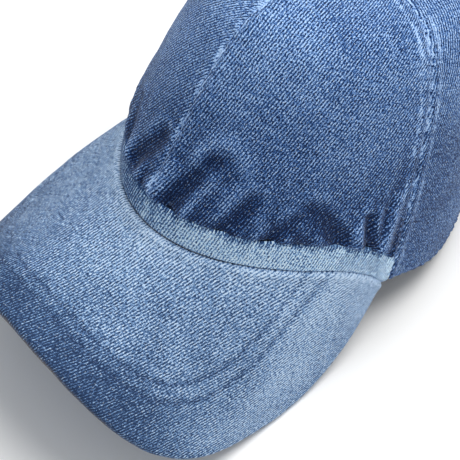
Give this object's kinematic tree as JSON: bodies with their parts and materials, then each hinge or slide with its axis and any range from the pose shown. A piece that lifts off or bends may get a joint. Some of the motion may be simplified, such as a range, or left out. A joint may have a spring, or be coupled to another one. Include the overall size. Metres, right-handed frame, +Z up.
{
  "type": "baseball cap",
  "caption": "Soft panelled denim baseball cap with a deeply bent visor, front band, and a rear strap with a cam clasp.",
  "frame": {"origin": "centre of the bounding box on the surface that the cap lies on, touched by the back hem and by the visor's two sides", "axes": "+Z up as the cap lies, visor towards -Y and tipped up, wearer's left at +X"},
  "size_m": [0.1666, 0.272, 0.1759],
  "materials": {
    "denim": "washed indigo twill",
    "denim_band": "washed indigo twill, paler",
    "denim_visor": "washed indigo twill, worn at the edge",
    "cotton": "plain cotton twill",
    "thread": "stitched thread",
    "board": "matte sheet",
    "brass": "antique"
  },
  "bodies": {
    "cap": {"front_panel_left": "denim", "front_panel_right": "denim", "side_panel_left": "denim", "side_panel_right": "denim", "back_panel_left": "denim", "back_panel_right": "denim", "front_band": "denim_band", "sweatband": "cotton", "tape_front": "cotton", "tape_back": "cotton", "tape_side_left": "cotton", "tape_side_right": "cotton", "tape_rear_left": "cotton", "tape_rear_right": "cotton", "arch_facing": "cotton", "top_button": "denim", "button_rivet": "brass", "eyelet_side_left": "thread", "eyelet_back_left": "thread", "eyelet_side_right": "thread", "eyelet_back_right": "thread", "visor_top_cover": "denim_visor", "visor_board": "board", "visor_under_cover": "denim_visor", "clasp_base": "brass", "clasp_pin": "brass", "clasp_tab": "denim"},
    "strap": {"adjust_strap": "denim"},
    "lever": {"clasp_lever": "brass"}
  },
  "joints": [
    {"name": "strap_slide", "type": "hinge", "parent": "cap", "child": "strap", "pos_m": [0, 0.06192, 0.02105], "axis": [0, -0.324, -0.946], "range_deg": [-7, 7]},
    {"name": "clasp_lever_hinge", "type": "hinge", "parent": "cap", "child": "lever", "pos_m": [0.01322, 0.11971, 0.01203], "axis": [0, 0.324, 0.946], "range_deg": [0, 100]}
  ]
}
